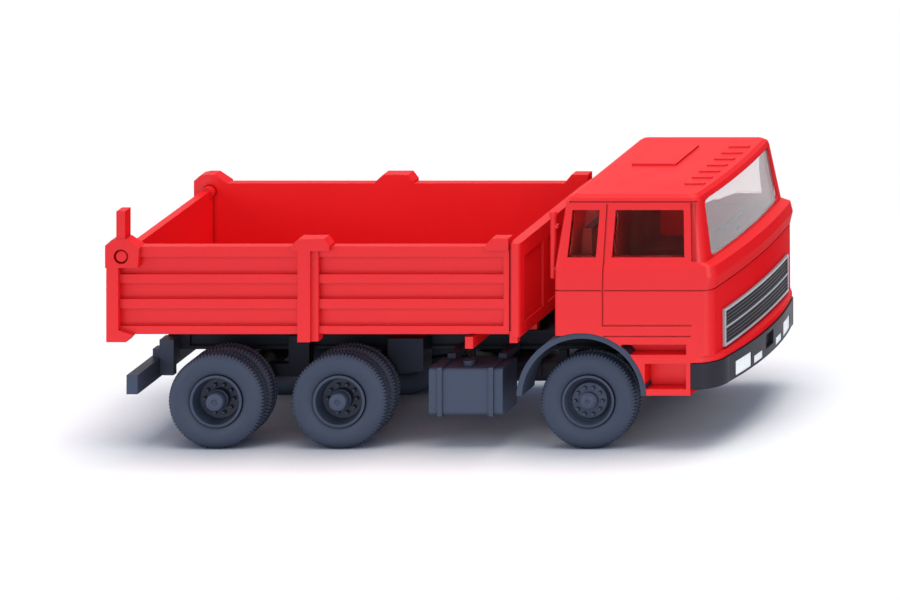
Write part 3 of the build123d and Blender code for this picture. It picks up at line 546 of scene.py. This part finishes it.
# %% [markdown]
# ## Helpers for new pieces
# New pieces are meshes drawn in millimetres in the truck's own frame and scaled to metres at the end,
# so each object can stay at the origin. A lathe turns an outline round the axle, and where the outline
# touches the axis a single vertex closes the middle. A loft skins sections of equal length.

# %% Lathe and loft
def lathe(mesh_maker, outline, centre, steps, closed=True):
    """Turn an outline of (y, radius), in mm, round an axis along Y through (x, z)."""
    angles = [tau * i / steps for i in range(steps)]
    rings = []
    for y, radius in outline:
        if radius == 0:
            rings.append([mesh_maker.verts.new((centre[0], y, centre[1]))])
            continue
        ring = [(centre[0] + radius * sin(a), y, centre[1] + radius * cos(a)) for a in angles]
        rings.append([mesh_maker.verts.new(p) for p in ring])
    pairs = list(zip(rings, rings[1:]))
    if closed:
        pairs.append((rings[-1], rings[0]))
    for first, second in pairs:
        for i in range(steps):
            j = (i + 1) % steps
            corners = [first[i % len(first)], first[j % len(first)],
                       second[j % len(second)], second[i % len(second)]]
            mesh_maker.faces.new(list(dict.fromkeys(corners)))


def loft(mesh_maker, sections):
    """Skin of quads through sections of equal length, closed at both ends."""
    rings = [[mesh_maker.verts.new(p) for p in section] for section in sections]
    count = len(rings[0])
    for first, second in zip(rings, rings[1:]):
        for i in range(count):
            j = (i + 1) % count
            mesh_maker.faces.new((first[i], first[j], second[j], second[i]))
    mesh_maker.faces.new(list(reversed(rings[0])))
    mesh_maker.faces.new(rings[-1])


# %% Meshes and pieces
sharp_from_degrees = 38


def plain_mesh(name, mesh_maker):
    """Turn what was drawn into a mesh with its faces pointing outwards."""
    bmesh.ops.recalc_face_normals(mesh_maker, faces=mesh_maker.faces)
    mesh = bpy.data.meshes.new(name)
    mesh_maker.to_mesh(mesh)
    mesh_maker.free()
    return mesh


def turned_about_z(mesh):
    """A copy of a mesh on the truck's other side, by half a turn about Z."""
    copy = mesh.copy()
    copy.transform(Matrix.Rotation(pi, 4, "Z"))
    return copy


def moved(mesh, x, y, z):
    """The mesh shifted, in mm."""
    mesh.transform(Matrix.Translation((x, y, z)))
    return mesh


def piece(name, meshes, finish, body, stands_for=()):
    """One object from meshes in mm, with its finish, its body and the nodes it replaces."""
    gathered = bmesh.new()
    for mesh in meshes:
        gathered.from_mesh(mesh)
    bmesh.ops.scale(gathered, vec=(MM, MM, MM), verts=gathered.verts)
    for face in gathered.faces:
        face.smooth = True
        face.material_index = 0
    mesh = bpy.data.meshes.new(name)
    gathered.to_mesh(mesh)
    gathered.free()
    mesh.set_sharp_from_angle(angle=radians(sharp_from_degrees))
    mesh.materials.append(finish)
    made = bpy.data.objects.new(name, mesh)
    scene.collection.objects.link(made)
    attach(made, body)
    if stands_for:
        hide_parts(*stands_for)
    mesh.calc_loop_triangles()
    print(name, "triangles:", len(mesh.loop_triangles))


# %% [markdown]
# ## A tree that sets copies round a ring
# Tread blocks and wheel nuts repeat evenly round an axle. A small Geometry Nodes tree does that: it
# turns one input piece about Y as many times as asked. The result is realized and made a plain mesh,
# because an exported model keeps no instances.

# %% Ring tree
def make_ring_tree():
    """Geometry tree: evenly turned copies of the input piece about the Y axis."""
    tree = bpy.data.node_groups.new("ring_of_copies", "GeometryNodeTree")
    face = tree.interface
    face.new_socket(name="Piece", in_out="INPUT", socket_type="NodeSocketGeometry")
    face.new_socket(name="Count", in_out="INPUT", socket_type="NodeSocketInt")
    face.new_socket(name="First Angle", in_out="INPUT", socket_type="NodeSocketFloat")
    face.new_socket(name="Finish", in_out="INPUT", socket_type="NodeSocketMaterial")
    face.new_socket(name="Ring", in_out="OUTPUT", socket_type="NodeSocketGeometry")
    inside = add(tree, "NodeGroupInput")
    outside = add(tree, "NodeGroupOutput")
    points = add(tree, "GeometryNodeMeshLine")
    points.inputs["Offset"].default_value = (0.0, 0.0, 0.0)
    join(tree, inside.outputs["Count"], points.inputs["Count"])
    full_turn = add(tree, "ShaderNodeMath", operation="DIVIDE")
    full_turn.inputs[0].default_value = tau
    join(tree, inside.outputs["Count"], full_turn.inputs[1])
    number = add(tree, "GeometryNodeInputIndex")
    turn = add(tree, "ShaderNodeMath", operation="MULTIPLY_ADD")
    join(tree, number.outputs["Index"], turn.inputs[0])
    join(tree, full_turn.outputs[0], turn.inputs[1])
    join(tree, inside.outputs["First Angle"], turn.inputs[2])
    about_y = add(tree, "ShaderNodeCombineXYZ")
    join(tree, turn.outputs[0], about_y.inputs["Y"])
    copies = add(tree, "GeometryNodeInstanceOnPoints")
    join(tree, points.outputs["Mesh"], copies.inputs["Points"])
    join(tree, inside.outputs["Piece"], copies.inputs["Instance"])
    join(tree, about_y.outputs[0], copies.inputs["Rotation"])
    real = add(tree, "GeometryNodeRealizeInstances")
    join(tree, copies.outputs[0], real.inputs[0])
    finish = add(tree, "GeometryNodeSetMaterial")
    join(tree, real.outputs[0], finish.inputs["Geometry"])
    join(tree, inside.outputs["Finish"], finish.inputs["Material"])
    join(tree, finish.outputs[0], outside.inputs["Ring"])
    return tree


def grown(seed, tree, inputs):
    """Run a geometry tree on a seed mesh and give back the plain result."""
    holder = bpy.data.objects.new("seed", seed)
    scene.collection.objects.link(holder)
    modifier = holder.modifiers.new("grow", "NODES")
    modifier.node_group = tree
    for socket in tree.interface.items_tree:
        if socket.in_out == "INPUT" and socket.name in inputs:
            modifier[socket.identifier] = inputs[socket.name]
    graph = bpy.context.evaluated_depsgraph_get()
    result = bpy.data.meshes.new_from_object(holder.evaluated_get(graph))
    bpy.data.objects.remove(holder)
    return result


ring_tree = make_ring_tree()
print("ring tree nodes:", len(ring_tree.nodes))

# %% [markdown]
# ## Tyres
# The real tyres are moulded in a matt blue-black plastic, with a round sidewall that dips towards the
# rim and a tread of short blocks on both shoulders, staggered from one side to the other. The body is
# a lathe of one outline. The blocks are one small lofted shape, set round by the ring tree.

# %% Sizes of the wheels
tyre_radius = 6.0
tread_radius = 5.86
tyre_bore = 3.3
tyre_outer_y = 13.2
single_width = 3.0
twin_width = 2.5
twin_gap = 0.4
tread_blocks = 84
tyre_steps = 96
groove_places = (0.38, 0.62)
groove_depth = 0.22
groove_half = 0.11
groove_floor_half = 0.066
block_gap = 0.12
block_foot_flare = 0.03
axle_x = {"front_axle": 20.95, "middle_axle": -10.45, "rear_axle": -25.95}
print("tyre in mm:", 2 * tyre_radius, "blocks on each shoulder:", tread_blocks)

# Columns: depth in from the tyre's outer face, radius
sidewall = (
    (0.62, tyre_bore),
    (0.50, 3.42),
    (0.27, 3.70),
    (0.10, 4.05),
    (0.02, 4.45),
    (0.00, 4.85),
    (0.06, 5.20),
    (0.17, 5.47),
    (0.30, 5.66),
    (0.42, 5.79),
    (0.60, tread_radius),
)


# %% Tyre body and tread blocks
def tyre_body(outer_y, width, centre):
    """Lathe of one tyre on the right side, with two grooves round its tread."""
    groove_floor = tread_radius - groove_depth
    outline = [(-(outer_y - d), r) for d, r in sidewall]
    for across in groove_places:
        y = -(outer_y - width * across)
        outline += [(y - groove_half, tread_radius), (y - groove_floor_half, groove_floor),
                    (y + groove_floor_half, groove_floor), (y + groove_half, tread_radius)]
    outline += [(-(outer_y - width + d), r) for d, r in reversed(sidewall)]
    maker = bmesh.new()
    lathe(maker, outline, centre, tyre_steps)
    return plain_mesh("tyre_body", maker)


def tread_block(outer_y, width, inner_shoulder):
    """One block at the top of the wheel, from a shoulder to the next groove."""
    # Columns: depth in from the shoulder's face, foot radius, top radius, half width at the top
    stations = (
        (0.31, 5.60, 5.71, 0.09),
        (0.39, 5.65, 5.85, 0.13),
        (0.49, 5.70, 5.96, 0.145),
        (0.61, 5.70, tyre_radius, 0.145),
        (width * groove_places[0] - block_gap, 5.70, tyre_radius, 0.145),
    )
    sections = []
    for depth, foot, top, half in stations:
        y = -(outer_y - width + depth) if inner_shoulder else -(outer_y - depth)
        wide = half + block_foot_flare
        sections.append([(-wide, y, foot), (wide, y, foot), (half, y, top), (-half, y, top)])
    maker = bmesh.new()
    loft(maker, sections)
    return plain_mesh("tread_block", maker)


def treaded_tyre(outer_y, width, x):
    """All meshes of one tyre on the right side of an axle at x."""
    meshes = [tyre_body(outer_y, width, (x, tyre_radius))]
    half_pitch = pi / tread_blocks
    for inner_shoulder, first_angle in ((False, 0.0), (True, half_pitch)):
        block = tread_block(outer_y, width, inner_shoulder)
        ring = grown(block, ring_tree, {"Count": tread_blocks, "First Angle": first_angle,
                                        "Finish": tyre_plastic})
        meshes.append(moved(ring, x, 0, tyre_radius))
    return meshes


def other_side(meshes, x):
    """Copies on the left side of an axle at x."""
    return [moved(turned_about_z(mesh), 2 * x, 0, 0) for mesh in meshes]


for axle, x in axle_x.items():
    if axle == "front_axle":
        right = treaded_tyre(tyre_outer_y, single_width, x)
    else:
        right = treaded_tyre(tyre_outer_y, twin_width, x)
        right += treaded_tyre(tyre_outer_y - twin_width - twin_gap, twin_width, x)
    stands_for = [n for n in nodes if n.startswith(axle + "_tyre")]
    piece(axle + "_treaded_tyres", right + other_side(right, x), tyre_plastic, axle, stands_for)

# %% [markdown]
# ## Wheel nuts and hub caps
# Each disc carries ten nuts round its hub. A nut on a model this small is a six-sided pin with a
# bevelled top. We loft one nut at the top of the ring and let the ring tree set the rest. The hub cap
# is a stepped lathe with a small dimple. On the twin wheels it reaches out past the deep disc and
# stands a little proud of the tyre.

# %% Nuts and caps
nut_count = 10
nut_sides = 6
cap_steps = 40
# Columns: ring radius, depth of the disc's face, nut height, nut radius
nut_rings = {
    "front_axle": (1.72, 0.76, 0.34, 0.24),
    "middle_axle": (1.82, 1.75, 0.42, 0.25),
    "rear_axle": (1.82, 1.75, 0.42, 0.25),
}
# Columns: depth in from the tyre's outer face, radius
front_cap = ((0.70, 1.16), (0.36, 1.12), (0.30, 1.02), (0.12, 0.86), (0.06, 0.74), (0.06, 0.34),
             (0.16, 0.24), (0.16, 0))
twin_cap = ((1.70, 1.36), (1.00, 1.32), (0.88, 1.20), (0.06, 1.14), (-0.14, 1.02), (-0.20, 0.88),
            (-0.20, 0.42), (-0.08, 0.30), (-0.08, 0))


def wheel_nut(ring_radius, face_depth, height, radius):
    """Six-sided nut at the top of the ring, pointing to the right side."""
    face_y = -(tyre_outer_y - face_depth)
    corners = [tau * (i + 0.5) / nut_sides for i in range(nut_sides)]
    sections = []
    # Columns: distance out from the disc, share of the nut's radius
    for out, size in ((-0.05, 1.0), (height * 0.7, 1.0), (height, 0.72)):
        sections.append([(radius * size * sin(a), face_y - out, ring_radius + radius * size * cos(a))
                         for a in corners])
    maker = bmesh.new()
    loft(maker, sections)
    return plain_mesh("wheel_nut", maker)


def hub_cap(outline, x):
    """Stepped cap over the axle's end."""
    maker = bmesh.new()
    profile = [(-(tyre_outer_y - outline[0][0]), 0)] + [(-(tyre_outer_y - d), r) for d, r in outline]
    lathe(maker, profile, (x, tyre_radius), cap_steps, closed=False)
    return plain_mesh("hub_cap", maker)


for axle, x in axle_x.items():
    nut = wheel_nut(*nut_rings[axle])
    ring = grown(nut, ring_tree, {"Count": nut_count, "First Angle": pi / nut_count,
                                  "Finish": anthracite_plastic})
    nuts = [moved(ring, x, 0, tyre_radius)]
    caps = [hub_cap(front_cap if axle == "front_axle" else twin_cap, x)]
    piece(axle + "_nuts", nuts + other_side(nuts, x), anthracite_plastic, axle)
    piece(axle + "_hub_caps", caps + other_side(caps, x), anthracite_plastic, axle)

# %% [markdown]
# ## Window panes
# The glazing comes as one mesh of six panes with one finish. The door panes need the smoked one, so we
# copy the mesh, join its loose triangles, and share the panes out by their distance from the middle.

# %% Panes by place
side_pane_from_y = 11.8


def panes(is_side):
    """Copy of the glazing, in mm, with only the side panes or only the others."""
    maker = bmesh.new()
    maker.from_mesh(nodes["cab_glazing"].data)
    bmesh.ops.remove_doubles(maker, verts=maker.verts, dist=1e-6)
    bmesh.ops.scale(maker, vec=(1 / MM, 1 / MM, 1 / MM), verts=maker.verts)
    others = [f for f in maker.faces
              if (max(abs(v.co.y) for v in f.verts) > side_pane_from_y) != is_side]
    bmesh.ops.delete(maker, geom=others, context="FACES")
    return plain_mesh("panes", maker)


piece("side_panes", [panes(True)], door_pane_painted_shade, "chassis", ["cab_glazing"])
piece("windscreen_and_rear_pane", [panes(False)], clear_window, "chassis", ["cab_glazing"])

# %% [markdown]
# ## Silencer and beam tabs
# Under the bed, between the tank and the battery box, the model is a closed dark mass. A flat silencer
# hangs there below the shafts: one rounded section drawn out along the truck, with a rolled rim at
# each end and two straps up to the frame rails. It takes the black finish, darker than the anthracite
# frame, so that it also fills that dark mass as painted shade. Two small tabs stand on the underrun
# beam beside its hangers.

# %% Silencer and tabs
silencer_x = (0.8, 15.0)
silencer_half_width = 3.9
silencer_z = (5.3, 8.5)
silencer_corner = 1.1
corner_steps = 5
strap_x = (3.0, 11.4)
strap_half = (0.3, 0.15)
strap_top_z = 10.1
# Lowest and highest x, y and z
tab_box = (-36.5, -35.6, 5.2, 6.6, 9.3, 10.65)


def rounded_section(x, grow):
    """Rectangle with round corners in the plane across the truck."""
    middle = (silencer_z[1] + silencer_z[0]) / 2
    across = silencer_half_width - silencer_corner
    up = (silencer_z[1] - silencer_z[0]) / 2 - silencer_corner
    reach = silencer_corner + grow
    points = []
    for turn in range(4):
        corner_y = across if turn in (0, 3) else -across
        corner_z = up if turn in (0, 1) else -up
        for step in range(corner_steps + 1):
            a = pi / 2 * (turn + step / corner_steps)
            points.append((x, corner_y + reach * cos(a), middle + corner_z + reach * sin(a)))
    return points


def silencer():
    """Flat rounded canister with a rolled rim at each end."""
    maker = bmesh.new()
    rear_x, front_x = silencer_x
    # Columns: x, growth of the section
    stations = ((rear_x, -0.35), (rear_x + 0.12, -0.02), (rear_x + 0.5, -0.02), (rear_x + 0.6, -0.12),
                (front_x - 0.6, -0.12), (front_x - 0.5, -0.02), (front_x - 0.12, -0.02),
                (front_x, -0.35))
    loft(maker, [rounded_section(x, grow) for x, grow in stations])
    return plain_mesh("silencer", maker)


def upright_box(x0, x1, y0, y1, z0, z1):
    """Box between two corners."""
    maker = bmesh.new()
    loft(maker, [[(x0, y0, z), (x1, y0, z), (x1, y1, z), (x0, y1, z)] for z in (z0, z1)])
    return plain_mesh("box", maker)


def both_sides(x0, x1, y0, y1, z0, z1):
    """Box and its mirror image."""
    return [upright_box(x0, x1, -y1, -y0, z0, z1), upright_box(x0, x1, y0, y1, z0, z1)]


straps = []
for x in strap_x:
    straps += both_sides(x - strap_half[0], x + strap_half[0],
                         silencer_half_width - strap_half[1], silencer_half_width + strap_half[1],
                         silencer_z[0] + silencer_corner, strap_top_z)
# The black finish makes the silencer partly painted shade for the dark mass under the bed.
piece("silencer", [silencer()] + straps, black_plastic, "chassis")
piece("underrun_beam_tabs", both_sides(*tab_box), anthracite_plastic, "chassis")

# %% [markdown]
# ## Air pipe behind the cab
# A slender pipe stands at the cab's rear corner. It is a loft through circles, wider at the top for its
# small hood, and two flat clips hold it to the cab.

# %% Air pipe
pipe_place = (16.6, -12.9)
pipe_bottom_z = 21.6
pipe_top_z = 29.3
pipe_radius = 0.36
hood_radius = 0.46
pipe_sides = 20
pipe_clip_z = (22.6, 27.9)
clip_height = 0.45
clip_half_y = pipe_radius - 0.1
cab_rear_x = 17.25


def round_section(centre, radius, z):
    """Points of a circle in plan."""
    angles = [tau * i / pipe_sides for i in range(pipe_sides)]
    return [(centre[0] + radius * cos(a), centre[1] + radius * sin(a), z) for a in angles]


def air_pipe():
    """Pipe with a hood, drawn from the bottom up."""
    maker = bmesh.new()
    # Columns: z, radius
    steps = ((pipe_bottom_z, 0.30), (pipe_bottom_z + 0.12, pipe_radius), (pipe_top_z, pipe_radius),
             (pipe_top_z + 0.02, hood_radius), (pipe_top_z + 0.55, hood_radius),
             (pipe_top_z + 0.68, hood_radius - 0.12))
    loft(maker, [round_section(pipe_place, radius, z) for z, radius in steps])
    return plain_mesh("air_pipe", maker)


def pipe_clip(z):
    """Flat clip from the cab's rear wall to the middle of the pipe."""
    x, y = pipe_place
    return upright_box(x, cab_rear_x, y - clip_half_y, y + clip_half_y, z, z + clip_height)


piece("air_pipe", [air_pipe()] + [pipe_clip(z) for z in pipe_clip_z], red_plastic, "chassis")
